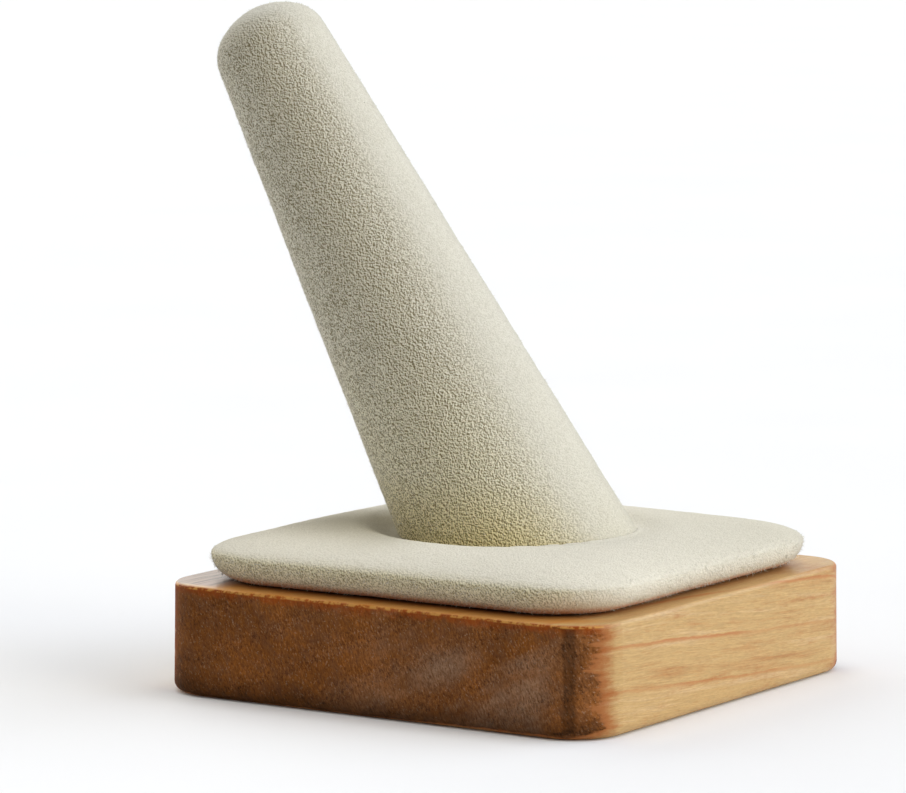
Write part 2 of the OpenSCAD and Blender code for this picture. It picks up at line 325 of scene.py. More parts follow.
def hardwood_material(name, colours):
    """Ash-like hardwood under satin lacquer. The yearly rings cross the block at a slant: they show as thin
    red lines on the long grain and as slanting bands on the end grain, which is dark, saturated and
    pricked with pores. Worked edges are amber."""
    material, node = new_material(name)
    at = millimetres(node)
    x, y, z = node(SPLIT, [at]).outputs
    normal = node("NewGeometry").outputs["Normal"]
    facing_x, facing_y, facing_z = node(SPLIT, [normal]).outputs
    endness = node(MATH, [facing_x], operation="ABSOLUTE")
    sideways = node(MATH, [y], operation="ABSOLUTE")

    # Across the rings: they rise 23 degrees towards the front and sink 4 degrees towards the right
    wander = node(NOISE, {"Vector": node(VECTOR, (at, (0.03, 0.11, 0.11)), operation="MULTIPLY"),
                          "Scale": 1.0, "Detail": 2.0, "Roughness": 0.6})
    across = node(VECTOR, (at, (0.07, 0.42, 1.0)), operation="DOT_PRODUCT")
    ring_place = node(MATH, (wander, 1.8, across), operation="MULTIPLY_ADD")
    # A ring is 4.6 mm wide. Its share runs from 0 to 1 and ends in the latewood
    ring_width, ring_start = 4.6, 10.58
    ring = node(MATH, [node(MATH, (ring_place, 1 / ring_width, ring_start), operation="MULTIPLY_ADD")],
                operation="FRACT")

    # Long grain follows the rings, the pores of the end grain stand nearly upright, and lacquer has run down
    # the slope of the rings
    along_rings = node(JOIN, (x, y, ring_place))
    upright = node(JOIN, (x, node(MATH, (z, -0.35, y), operation="MULTIPLY_ADD"), z))
    slope = node(JOIN, (x, node(MATH, (z, -0.42, y), operation="MULTIPLY_ADD"),
                        node(MATH, (y, 0.42, z), operation="MULTIPLY_ADD")))
    # Each pattern has its features per millimetre along x, y and z, its detail and its roughness. The streaks
    # are 1.5 to 3 mm across and some 20 times as long, and the bundles of pores 0.25 mm wide and 0.6 mm tall
    pattern = {}
    for part, place, per_mm, detail, roughness in (
            ("ring edge", at, (0.35, 1.2, 2.4), 3.0, 0.75),
            ("streaks", along_rings, (0.035, 0.30, 0.70), 5.0, 0.70),
            ("fine", along_rings, (0.22, 2.6, 5.0), 3.0, 0.7),
            ("grit", along_rings, (1.3, 5.0, 8.0), 1.0, 0.6),
            ("dashes", along_rings, (0.5, 4.0, 9.0), 1.0, 0.6),
            ("patches", along_rings, (0.05, 0.2, 0.5), 1.0, 0.6),
            ("cracks", along_rings, (0.12, 2.4, 1.0), 2.0, 0.6),
            ("bundles", upright, (1.0, 4.4, 1.7), 3.0, 0.75),
            ("specks", upright, (1.5, 5.6, 4.0), 2.0, 0.6),
            ("dry spots", upright, (0.5, 0.9, 0.6), 2.0, 0.6),
            ("clouds", at, (0.2, 0.22, 0.3), 2.0, 0.6),
            ("milk", slope, (0.1, 0.085, 0.30), 3.0, 0.55),
            ("ragged", at, (0.5, 0.55, 0.8), 4.0, 0.7),
            ("flames", at, (0.05, 0.05, 0.62), 4.0, 0.65),
            ("beads", at, (1.5, 1.7, 1.7), 2.0, 0.6)):
        scaled = node(VECTOR, (place, per_mm), operation="MULTIPLY")
        pattern[part] = node(NOISE, {"Vector": scaled, "Scale": 1.0, "Detail": detail,
                                     "Roughness": roughness})

    # Long grain: streaks, finer ones in them, grit, short dashes, and the red line that ends each ring
    torn = node(MATH, (pattern["ring edge"], 0.11, ring), operation="MULTIPLY_ADD")
    streaks = node(RAMP, [pattern["streaks"]], stops=[
        (0.33, colours.timber_red), (0.46, colours.timber), (0.54, colours.timber), (0.66, colours.timber_pale)])
    long_grain = layered(node, streaks, [
        ("MULTIPLY", node(RANGE, (pattern["fine"], 0.30, 0.70, 0.88, 1.09))),
        ("MULTIPLY", node(RANGE, (pattern["grit"], 0.30, 0.62, 0.91, 1.04))),
        ("MIX", colours.timber_red, (pattern["dashes"], 0.60, 0.68, 0.0, 0.45)),
        ("MIX", colours.latewood,
         (torn, 0.93, 1.02),
         (torn, 1.02, 1.07, 1.0, 0.0),
         (pattern["patches"], 0.38, 0.60, 0.35, 0.8))])

    # End grain: pores lie thickest in the first half of each ring
    pits = node(MATH, (node(RANGE, (pattern["specks"], 0.34, 0.44, 1.0, 0.0), **EASED),
                       node(RANGE, (ring, 0.15, 0.75, 1.0, 0.35), **EASED)), operation="MULTIPLY")
    # The lacquer has dried milky in streaks that follow the rings, and in one wiped patch, 9 mm right of the
    # middle and 6 mm up, whose halves are 6.5 and 2.6 mm
    patch = node(VECTOR, (slope, (0, 1 / 6.5, 1 / 2.6), (0, 11.2 / 6.5, -2.2 / 2.6)),
                 operation="MULTIPLY_ADD")
    wiped = node(RANGE, (node(VECTOR, [patch], operation="LENGTH"), 0.1, 1.2, 0.9, 0.0), **EASED)
    milky = node(MATH, (node(RANGE, (pattern["milk"], 0.38, 0.70, 0.0, 0.8), **EASED), wiped),
                 operation="MAXIMUM")
    # Worked edges are thin, so that light glows through them: rusty under the top arris and at the far corner
    near_top = node(MATH, (pattern["ragged"], 2.6, z), operation="MULTIPLY_ADD")
    near_side = node(MATH, (pattern["ragged"], 2.6, sideways), operation="MULTIPLY_ADD")
    under_top = node(RANGE, (near_top, BLOCK_HIGH[2], BLOCK_HIGH[2] + 1.3), **EASED)
    far_side = node(MATH, (
        node(RANGE, (near_side, BLOCK_HIGH[1] - 1.6, BLOCK_HIGH[1] + 0.2), **EASED),
        node(RANGE, (facing_y, 0.05, 0.4), **EASED)), operation="MULTIPLY")
    worked = node(MATH, (under_top, far_side), operation="MAXIMUM")
    # In one upright band in each front corner the wood has drunk in more and is darker
    banding = node(MATH, (pattern["ragged"], 0.05, endness), operation="MULTIPLY_ADD")
    end_grain = layered(node, colours.end_grain, [
        ("MULTIPLY", node(RANGE, (pattern["bundles"], 0.30, 0.70, 0.46, 1.50))),
        ("MULTIPLY", node(RANGE, (pattern["clouds"], 0.32, 0.68, 0.80, 1.22))),
        ("MIX", colours.dulled, (pattern["dry spots"], 0.42, 0.66, 0.0, 0.34)),
        ("MIX", colours.end_dark, pits, 0.6),
        # Painted highlights: glints on pale specks
        ("MIX", colours.haze_and_glints, (pattern["specks"], 0.60, 0.70, 0.0, 0.40)),
        # The milky streaks lie mostly towards the front corner
        ("MIX", colours.haze_and_glints, milky,
         (y, 14.0, -16.0),
         (y, -23.0, -20.0, 0.3, 1.0),
         (pattern["bundles"], 0.34, 0.62, 0.25, 1.0),
         (endness, 0.86, 0.97, 0.35, 0.55)),
        ("MIX", colours.arris, worked, 0.75),
        # Painted shade along the bottom, and towards the far corner it is darker too
        ("MULTIPLY", node(RANGE, (near_top, 1.2, 4.8, 0.42, 1.0), **EASED)),
        ("MULTIPLY", node(RANGE, (y, 14.0, 25.0, 1.0, 0.78), **EASED)),
        ("MULTIPLY", (0.52, 0.52, 0.52, 1.0),
         (banding, 0.84, 0.89),
         (banding, 0.95, 0.99, 1.0, 0.0),
         (facing_y, -0.05, -0.2))])

    # The end grain runs round the corners to about 55 degrees and breaks off raggedly through amber
    turned = node(MATH, (pattern["ragged"], 0.5, endness), operation="MULTIPLY_ADD")
    turned = node(MATH, (pattern["flames"], 1.25, turned), operation="MULTIPLY_ADD")
    ended = node(RANGE, (turned, 1.36, 1.54), **EASED)
    # How far each point lies outside the square between the centres of the deck's corners
    inner = COVER_HIGH[0] - DECK_CORNER
    flat = node(JOIN, (node(MATH, [x], operation="ABSOLUTE"), sideways))
    beyond = node(VECTOR, (flat, (inner, inner, 0)), operation="SUBTRACT")
    beyond = node(VECTOR, (beyond, (0, 0, 0)), operation="MAXIMUM")
    beyond = node(VECTOR, [beyond], operation="LENGTH")
    on_top = node(RANGE, (facing_z, 0.7, 0.95), **EASED)
    towards_corner = node(MATH, (x, y), operation="SUBTRACT")
    # Painted reflection: a grey sheen, with the open grain as dark lines
    painted_sheen = node(MIX, (1.0, colours.painted_sheen_grey, node(RANGE, (pattern["cracks"], 0.40, 0.52, 0.35, 1.0),
                                                  **EASED)), data_type="RGBA", blend_type="MULTIPLY")
    faces = layered(node, long_grain, [
        ("MIX", colours.amber, (turned, 0.92, 1.40, 0.0, 0.8)),
        ("MIX", end_grain, ended),
        # On top, an ochre band lies round the deck, mostly on the left
        ("MIX", colours.ochre, on_top,
         (beyond, 10.5, 12.8, 1.0, 0.0),
         (x, -20.0, -24.0, 0.15, 0.75)),
        # Painted shade: a dark line in the crevice where the deck sits
        ("MIX", colours.painted_crevice_shade, on_top,
         (beyond, 6.3, 8.5, 1.0, 0.0),
         (towards_corner, -2.0, 6.0, 1.0, 0.45)),
        # Painted reflection: the far left of the top shows a grey sheen, and its open grain shows as dark lines in
        # it
        ("MIX", painted_sheen, on_top,
         (x, -26.4, -25.0),
         (y, 17.5, 21.5),
         (x, -12.0, 6.0, 0.85, 0.0)),
        # Torn fibres on the arris dry pale
        ("MIX", colours.bead,
         (pattern["beads"], 0.40, 0.60, 0.0, 0.9),
         (facing_z, 0.15, 0.45),
         (endness, 0.2, 0.5))])

    # Satin lacquer on the long grain. The end grain has drunk it in and keeps little gloss
    height = node(MATH, (node(MATH, (pits, ended), operation="MULTIPLY"), -0.9,
                         node(MATH, (pattern["fine"], 0.5), operation="MULTIPLY")),
                  operation="MULTIPLY_ADD")
    relief = {"Height": height, "Strength": 1.0, "Distance": 0.06 * MM}
    return finish_material(material, {
        "Base Color": faces, "Roughness": node(RANGE, (ended, 0.0, 1.0, 0.45, 0.65), **EASED),
        "Coat Weight": node(RANGE, (ended, 0.0, 1.0, 0.32, 0.04), **EASED),
        "IOR": 1.5, "Specular IOR Level": 0.03, "Coat Roughness": 0.25, "Coat IOR": 1.5}, relief)


def hardboard_material(name, colours):
    """Hardboard, pressed: matted brown fibres with darker flecks."""
    material, node = new_material(name)
    mat = node(NOISE, {"Vector": millimetres(node), "Scale": 1.6, "Detail": 4.0, "Roughness": 0.7})
    tone = node(RAMP, [mat], stops=[
        (0.32, linear("#5E4329")), (0.5, colours.board), (0.72, linear("#A98A66"))])
    return finish_material(material, {"Base Color": tone, "Roughness": 0.78},
                           {"Height": mat, "Distance": 0.06 * MM})


def foam_material(name, colours):
    """Polyurethane foam, sliced: open cells of about half a millimetre."""
    material, node = new_material(name)
    cells = node("TexVoronoi", {"Vector": millimetres(node), "Scale": 2.0},
                 feature="DISTANCE_TO_EDGE")
    tone = node(RAMP, [cells], stops=[(0.02, colours.foam), (0.22, linear("#BDB59B"))])
    return finish_material(material, {"Base Color": tone, "Roughness": 0.9},
                           {"Height": cells, "Distance": 0.2 * MM}, invert=True)


def turned_softwood_material(name, colours):
    """Softwood, turned on a lathe: growth rings along the finger and fine rounds left by the tool."""
    material, node = new_material(name)
    at = millimetres(node)
    rings = node("TexWave", {"Vector": at, "Scale": 0.22, "Distortion": 1.6, "Detail": 2.0,
                             "Detail Scale": 0.4}, wave_type="BANDS", bands_direction="X")
    tone = node(RAMP, [rings.outputs["Fac"]], stops=[
        (0.2, colours.softwood), (0.8, linear("#A97F4F"))])
    marks = node("TexWave", {"Vector": at, "Scale": 1.1}, wave_type="BANDS", bands_direction="Z")
    return finish_material(material, {"Base Color": tone, "Roughness": 0.66},
                           {"Height": marks.outputs["Fac"], "Distance": 0.03 * MM})


def zinc_material(name, colours):
    """Steel, bright zinc plated: a cool metal with faint blotches."""
    material, node = new_material(name)
    blotch = node(NOISE, {"Vector": millimetres(node), "Scale": 0.8, "Detail": 3.0})
    tone = node(RAMP, [blotch], stops=[(0.3, linear("#A9AAA8")), (0.7, colours.zinc)])
    rough = node(RANGE, (blotch, 0.0, 1.0, 0.24, 0.42))
    return finish_material(material, {"Base Color": tone, "Metallic": 1.0, "Roughness": rough},
                           {"Height": blotch, "Distance": 0.02 * MM})


def paper_material(name, colours):
    """Background paper, matt: nearly even white with the faintest mottle."""
    material, node = new_material(name)
    mottle = node(NOISE, {"Vector": millimetres(node), "Scale": 0.02, "Detail": 2.0})
    tone = node(MIX, (mottle, colours.floor, linear("#E9E9EA")), data_type="RGBA")
    return finish_material(material, {"Base Color": tone, "Roughness": 0.9, "Specular IOR Level": 0.1})


def unit(vectors):
    return vectors / np.linalg.norm(vectors, axis=1)[:, None]


def lifted(xy, height):
    """Points at a height over the plane, which may be one for all or one for each."""
    return np.column_stack([xy, np.broadcast_to(height, len(xy))])


def new_object(name, points, faces, material):
    """A smooth mesh from points in millimetres."""
    mesh = bpy.data.meshes.new(name)
    mesh.from_pydata([tuple(p) for p in np.asarray(points) * MM], [], faces)
    mesh.validate()
    mesh.materials.append(material)
    mesh.polygons.foreach_set("use_smooth", [True] * len(mesh.polygons))
    mesh.update()
    made = bpy.data.objects.new(name, mesh)
    bpy.context.collection.objects.link(made)
    return made


class Shell:
    """Gathers rings of points, in millimetres, and the faces between them."""

    def __init__(self):
        self.points = []
        self.faces = []

    def ring(self, points):
        start = len(self.points)
        self.points.extend(tuple(float(v) for v in p) for p in points)
        return list(range(start, len(self.points)))

    def join(self, first, second):
        """Closes the band between two rings, which may have different counts. Faces look outwards where the
        rings run anticlockwise, seen from outside with the first ring below."""
        a, b = len(first), len(second)
        if a == b:
            for i in range(a):
                j = (i + 1) % a
                self.faces.append((first[i], first[j], second[j], second[i]))
            return
        i = j = 0
        while i < a or j < b:
            if j >= b or (i < a and (i + 1) * b <= (j + 1) * a):
                self.faces.append((first[i % a], first[(i + 1) % a], second[j % b]))
                i += 1
            else:
                self.faces.append((first[i % a], second[(j + 1) % b], second[j % b]))
                j += 1

    def loft(self, rows):
        """Makes each row of points a ring, and joins it to the next."""
        rings = [self.ring(row) for row in rows]
        for first, second in zip(rings, rings[1:]):
            self.join(first, second)
        return rings

    def cap(self, ring, point):
        """Closes a ring with a fan about one point."""
        tip = self.ring([point])[0]
        for i, start in enumerate(ring):
            self.faces.append((start, ring[(i + 1) % len(ring)], tip))

    def to_object(self, name, material):
        return new_object(name, self.points, self.faces, material)


def waver(points, normals, size, height, seed):
    """Moves points along their normals by smooth noise. Its waves are as wide as size and rise to height."""
    offset = Vector((seed * 3.7, seed * 1.9, seed * 5.3))
    moves = np.array([noise.noise(Vector(p) / size + offset) for p in points])
    return points + normals * (moves * height)[:, None]


def vertex_frame(made):
    """Points and normals of a mesh, as arrays in millimetres."""
    mesh = made.data
    count = len(mesh.vertices)
    points = np.empty(count * 3)
    mesh.vertices.foreach_get("co", points)
    normals = np.empty(count * 3)
    mesh.vertex_normals.foreach_get("vector", normals)
    return points.reshape(-1, 3) / MM, normals.reshape(-1, 3)


def set_points(made, points):
    made.data.vertices.foreach_set("co", (points * MM).ravel())
    made.data.update()


def pebble(made, outside, seed):
    """Gives the outside of a suede piece its soft waves and the pebbled rise of its nap."""
    points, normals = vertex_frame(made)
    for k, (size, height) in enumerate(((7.0, 0.05), (1.3, 0.02), (0.6, 0.035))):
        points[outside] = waver(points[outside], normals[outside], size, height, seed + k)
    set_points(made, points)


def smooth_step(x):
    """Rises softly from 0 to 1."""
    x = np.clip(x, 0, 1)
    return x * x * (3 - 2 * x)


# The finger has pulled down on the side that it leans to and lifted in front. This is the level at
# which it meets the deck, read from the line that its foot makes on the cover.
FOOT_LEVEL = 15.42
FOOT_TILT = -0.058
FOOT_LOWEST = BOARD_HIGH[2] + 0.85


def foot_level(y):
    """Height at which the finger meets the deck. The tilted plane bends softly to its lowest level."""
    plane = FOOT_LEVEL + FOOT_TILT * np.asarray(y, float)
    blend = 0.12
    return FOOT_LOWEST + blend * np.logaddexp(0, (plane - FOOT_LOWEST) / blend)


class Finger:
    """The finger's form: an axis that leans back, and a radius along it."""

    def __init__(self, sizes):
        self.base = np.array([0, sizes.finger_y / MM, COVER_HIGH[2]])
        lean = sizes.finger_lean
        self.axis = np.array([0, sin(lean), cos(lean)])
        self.side = np.array([1.0, 0, 0])
        self.rear = np.array([0, cos(lean), -sin(lean)])
        self.length = sizes.finger_length / MM
        self.foot_r = sizes.finger_foot / MM
        self.slope = (self.foot_r - sizes.finger_tip / MM) / self.length
        taper = atan(self.slope)
        r = sizes.tip_shoulder / MM
        self.shoulder_r = r
        dome = sizes.dome_angle
        self.shoulder_x = ((sizes.finger_tip / MM - r * (1 / cos(taper) - self.slope))
                           / (1 - self.slope * tan(dome / 2)))
        self.shoulder_s = self.length - r - self.shoulder_x * tan(dome / 2)
        self.dome_r = r + self.shoulder_x / sin(dome)
        self.taper = taper
        self.dome = dome
        self.side_top = self.shoulder_s + r * sin(taper)

    def radial(self, angle):
        return np.cos(angle)[:, None] * self.side + np.sin(angle)[:, None] * self.rear

    def radius(self, s):
        return self.foot_r - self.slope * s

    def at(self, angle, s, r):
        """Points at these angles round the axis, this far along it and from it."""
        s = np.broadcast_to(s, angle.shape)
        r = np.broadcast_to(r, angle.shape)
        return self.base + s[:, None] * self.axis + self.radial(angle) * r[:, None]

    def foot(self, angle, lift=0.0):
        """How far along the axis each line down the side meets the deck."""
        way = self.axis - self.slope * self.radial(angle)
        start = self.base + self.radial(angle) * self.foot_r
        s = np.zeros(angle.shape)
        # Eight steps of Newton's method, as the level changes from front to back
        for _ in range(8):
            here = start + way * s[:, None]
            s -= (here[:, 2] - foot_level(here[:, 1]) - lift) / way[:, 2]
        return s

    def tip_rows(self, inset, shoulder_steps, dome_steps):
        """Pairs of place along the axis and radius, from the end of the straight side to near the tip."""
        shoulder = np.linspace(self.taper, pi / 2 - self.dome, shoulder_steps + 1)[1:]
        dome = np.linspace(self.dome, 0, dome_steps + 1)[1:-1]
        r, dome_r = self.shoulder_r - inset, self.dome_r - inset
        return ([(self.shoulder_s + r * sin(turn), self.shoulder_x + r * cos(turn)) for turn in shoulder]
                + [(self.length - self.dome_r + dome_r * cos(turn), dome_r * sin(turn)) for turn in dome])


def finger_cover(sizes, colours):
    """The sleeve of the finger: cut and seamed at the back, turned under at the foot, with the nap outside."""
    form = Finger(sizes)
    suede = sizes.suede / MM
    shell = Shell()
    count = 256
    # Lines crowd together at the back, where the seam lies
    crowding = 0.42
    even = np.arange(count) / count * 2 * pi
    angle = even + pi / 2 - crowding * np.sin(even)

    # The foot's edge is rolled in by 0.2 mm, and the hem under it is laid out in two rows
    foot_roll = 0.2
    start = form.foot(angle, lift=foot_roll)
    wall = form.at(angle, start, form.radius(start))
    inward = wall.mean(0) - wall
    inward[:, 2] = 0
    inward = unit(inward)

    rows = []
    for reach in (sizes.finger_hem / MM, 2.2):
        row = wall + inward * reach
        row[:, 2] = foot_level(row[:, 1])
        rows.append(row)
    for k in range(4, 0, -1):
        turn = pi / 2 * k / 4
        row = wall + inward * foot_roll * (1 - cos(turn))
        level = foot_level(row[:, 1])
        row[:, 2] = level + (wall[:, 2] - level) * (1 - sin(turn))
        rows.append(row)
    # The sleeve's straight side, in rows that start level with the foot and end square to the axis
    upper = form.side_top
    for share in np.linspace(0, 1, 206):
        s = start + (upper - start) * share
        rows.append(form.at(angle, s, form.radius(s)))
    # Towards the tip every second line ends, and then every second of the rest
    for s, r in form.tip_rows(0.0, 16, 9):
        step = 1 if r > 3.4 else 2 if r > 1.7 else 4
        rows.append(form.at(angle[::step], s, r))
    rings = shell.loft(rows)
    shell.cap(rings[-1], form.base + form.axis * form.length)
    outside = np.array([i for ring in rings[2:] for i in ring] + [len(shell.points) - 1])

    # The inside of the suede lies on the core, and its hem under the core's foot
    every = 4
    inner_angle = angle[::every]
    core_foot = CORE_LOW[2]
    way = form.axis - form.slope * form.radial(inner_angle)
    edge = form.base + form.radial(inner_angle) * (form.foot_r - suede / cos(form.taper))
    s = (core_foot - edge[:, 2]) / way[:, 2]
    corner = edge + way * s[:, None]
    hem_top = rows[0][::every].copy()
    hem_top[:, 2] = core_foot
    rows = [hem_top, corner]
    for share in np.linspace(0, 1, 21)[1:]:
        rows.append(edge + way * (s + (upper - s) * share)[:, None])
    for place, r in form.tip_rows(suede, 6, 5):
        rows.append(form.at(inner_angle, place, r))
    inner = shell.loft(rows[::-1])
    shell.cap(inner[0][::-1], form.base + form.axis * (form.length - suede))
    shell.join(inner[-1], rings[0])

    cloth = suede_material("Imitation suede, brushed, finger", colours, colours.suede, finger_painted_light,
                           most_relief=1.0, left=(-0.97, -0.10, -0.20))
    made = shell.to_object("finger_suede_cover", cloth)

    # The two cut edges meet in a seam up the back: a line 0.32 mm deep, in a wider hollow 0.10 mm deep. It fades
    # out below the tip
    points, normals = vertex_frame(made)
    from_foot = points[outside] - form.base
    along = from_foot @ form.axis
    across = from_foot @ form.side
    behind = from_foot @ form.rear > 0
    line = np.exp(-(across / 0.16) ** 2) * 0.32 + np.exp(-(across / 0.9) ** 2) * 0.10
    fade = smooth_step((form.shoulder_s + 2.5 - along) / 3.0)
    points[outside] -= normals[outside] * (line * fade * behind)[:, None]
    set_points(made, points)
    pebble(made, outside, 3)

    # The flat sheet: what the seam and the slanting foot take up, and how much of the rectangle the cut leaves
    seam, slant, share = 1, 8, 0.82
    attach(made, ROOT)
    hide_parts("finger_cover")
    return made, outside


class Deck:
    """The deck's form: a rounded square that is padded in the middle and dished round the finger's foot."""

    def __init__(self, sizes):
        self.half = sizes.deck_half / MM
        self.corner = sizes.deck_corner / MM
        self.nose = sizes.nose_height / MM
        self.foot = COVER_LOW[2]
        self.shoulder_in = sizes.shoulder_in / MM
        self.under_in = sizes.under_in / MM
        self.crown = sizes.crown / MM
        self.dish = sizes.foot_sink / MM
        self.edge_rise = COVER_HIGH[2] - self.nose
        form = Finger(sizes)
        # The line on which the finger stands, as 180 points seen from above, and its middle
        angle = np.linspace(0, 2 * pi, 181)[:-1]
        s = form.foot(angle)
        self.contact = form.at(angle, s, form.radius(s))[:, :2]
        self.middle = self.contact.mean(0)

    def outline(self, count):
        """Points on the widest line and the way out from each, spaced evenly."""
        side = 2 * (self.half - self.corner)
        bend = self.corner * pi / 2
        spaced = (np.arange(count) + 0.5) / count * 4 * (side + bend)
        quarter = (spaced // (side + bend)).astype(int)
        rest = spaced - quarter * (side + bend)
        # One side and the corner after it, as complex numbers, and then turned to its quarter
        way = np.exp(1j * np.maximum(rest - side, 0) / self.corner)
        place = side / 2 + 1j * (np.minimum(rest, side) - side / 2) + self.corner * way
        spin = np.array([1, 1j, -1, -1j])[quarter]
        return [np.column_stack([z.real, z.imag]) for z in (place * spin, way * spin)]

    def foot_distance(self, xy):
        """How far outside the finger's foot each point lies. Inside it the distance is negative."""
        (bearing, reach), (edge_bearing, edge_reach) = (
            (np.arctan2(v[:, 1], v[:, 0]), np.linalg.norm(v, axis=1))
            for v in (xy - self.middle, self.contact - self.middle))
        return reach - np.interp(bearing, edge_bearing, edge_reach, period=2 * pi)

    def top(self, xy, base):
        """Height of the cover's face over points whose height on the plain edge is base."""
        u, v = xy[:, 0] / self.half, xy[:, 1] / self.half
        swell = base + self.crown * np.clip(1 - u * u, 0, 1) * np.clip(1 - v * v, 0, 1)
        away = self.foot_distance(xy)
        hold = 1 - smooth_step((away + 0.4) / self.dish)
        # Where it touches the sleeve, the cover is pushed up into a small soft lip
        lip = 0.28 * np.exp(-np.clip(away, 0, None) / 0.45)
        return swell + (foot_level(xy[:, 1]) - swell) * hold + lip * (away > -0.2)


def deck_cover(sizes, colours):
    """The deck's cover: one piece of suede drawn over the padded board and turned under it."""
    form = Deck(sizes)
    suede = sizes.suede / MM
    shell = Shell()
    count = 616
    xy, out = form.outline(count)

    def edge_row(inset, height):
        return lifted(xy - out * inset, height)

    rows = []
    for turn in np.linspace(pi / 2, 0, 16):
        rows.append(edge_row(form.under_in * (1 - cos(turn)),
                             form.nose - (form.nose - form.foot) * sin(turn)))
    for turn in np.linspace(0, pi / 2, 27)[1:]:
        row = edge_row(form.shoulder_in * (1 - cos(turn)), form.nose + form.edge_rise * sin(turn))
        row[:, 2] = form.top(row[:, :2], row[:, 2])
        rows.append(row)
    # From the edge inwards the rows change from a square to the shape of the finger's foot, and end 1.2 mm
    # inside it
    last = rows[-1][:, :2]
    apart = last - form.middle
    foot_reach = np.linalg.norm(apart, axis=1) - form.foot_distance(last)
    goal = form.middle + unit(apart) * (foot_reach - 1.2)[:, None]
    for share in np.linspace(0, 1, 31)[1:]:
        place = last + (goal - last) * share
        rows.append(lifted(place, form.top(place, COVER_HIGH[2])))

    # Under the finger the cover lies flat, with a hole for the screw
    every = 7
    goal_in = goal[::every]
    way_in = SCREW_HOLE_AT - goal_in
    hole_xy = SCREW_HOLE_AT - unit(way_in) * SCREW_HOLE_R
    for place in (goal_in + way_in * 0.45, hole_xy):
        rows.append(lifted(place, foot_level(place[:, 1])))
    rings = shell.loft(rows)
    # The row that lies on the block stays flat, and so do the last two
    outside = np.array([i for ring in rings[1:-2] for i in ring])

    # The inside of the suede, from the screw's hole round the board's edge to the hem
    few_xy, few_out, last_in = xy[::every], out[::every], last[::every]
    lowest = BOARD_HIGH[2] + 0.02
    rows = []
    for place in (hole_xy, goal_in + way_in * 0.5, goal_in):
        rows.append(lifted(place, np.maximum(foot_level(place[:, 1]) - suede, lowest)))
    for share in (0.75, 0.5, 0.25, 0.0):
        place = last_in + (goal_in - last_in) * share
        rows.append(lifted(place, np.maximum(form.top(place, COVER_HIGH[2]) - suede, lowest)))
    for turn in np.radians([66, 44, 22, 0]):
        place = few_xy - few_out * (form.shoulder_in * (1 - cos(turn)) + suede * cos(turn))
        face = form.nose + (form.edge_rise - suede * sin(turn)) * sin(turn)
        rows.append(lifted(place, form.top(place, face) if turn > 0 else face))
    for turn in np.radians([22, 45, 68, 90]):
        place = few_xy - few_out * (form.under_in * (1 - cos(turn)) + suede * cos(turn))
        rows.append(lifted(place, form.nose - (form.nose - form.foot - suede) * sin(turn)))
    hem = sizes.hem / MM
    shrink = (form.half - hem) / (form.half - form.under_in)
    hem_xy = (few_xy - few_out * form.under_in) * shrink
    rows += [lifted(hem_xy, form.foot + suede), lifted(hem_xy, form.foot)]
    inner = shell.loft(rows)
    shell.join(rings[-1], inner[0])
    shell.join(inner[-1], rings[0])

    cloth = suede_material("Imitation suede, brushed, deck", colours, colours.deck_suede, deck_painted_light,
                           most_relief=0.75, left=(-0.95, 0.25, -0.05))
    made = shell.to_object("deck_suede_cover", cloth)
    pebble(made, outside, 9)

    # The flat sheet: its way round the deck's edge, and how much of the square its cut corners leave
    round_edge, share = 5.5, 0.72
    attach(made, ROOT)
    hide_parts("deck_cover")
    return made, outside, form


def deck_foam(sizes, colours, form):
    """The padding: a thin sheet of foam, squeezed flat under the finger, that swells between it and the edge."""
    suede = sizes.suede / MM
    shell = Shell()
    count = 176
    xy, out = form.outline(count)
    floor = BOARD_HIGH[2]
    edge_in = 1.7

    # The foam keeps 0.03 mm from the cover, and is nowhere thinner than 0.04 mm
    def face(place, base):
        return np.maximum(form.top(place, base) - suede - 0.03, floor + 0.04)

    rows = [lifted(xy - out * edge_in, floor)]
    for turn in np.radians([44, 60, 75, 90]):
        place = xy - out * max(form.shoulder_in * (1 - cos(turn)), edge_in)
        rows.append(lifted(place, face(place, form.nose + form.edge_rise * sin(turn))))
    away = rows[-1][:, :2] - SCREW_HOLE_AT
    far = np.linalg.norm(away, axis=1)
    for share in np.linspace(0.08, 1.0, 12):
        reach = SCREW_HOLE_R + (far - SCREW_HOLE_R) * (1 - share)
        place = SCREW_HOLE_AT + unit(away) * reach[:, None]
        rows.append(lifted(place, face(place, COVER_HIGH[2])))
    hole = rows[-1].copy()
    hole[:, 2] = floor
    rows.append(hole)
    rings = shell.loft(rows)
    shell.join(rings[-1], rings[0])
    made = shell.to_object("deck_foam_padding", foam_material("Polyurethane foam, sliced", colours))
    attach(made, ROOT)
    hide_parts("deck_padding")
    return made


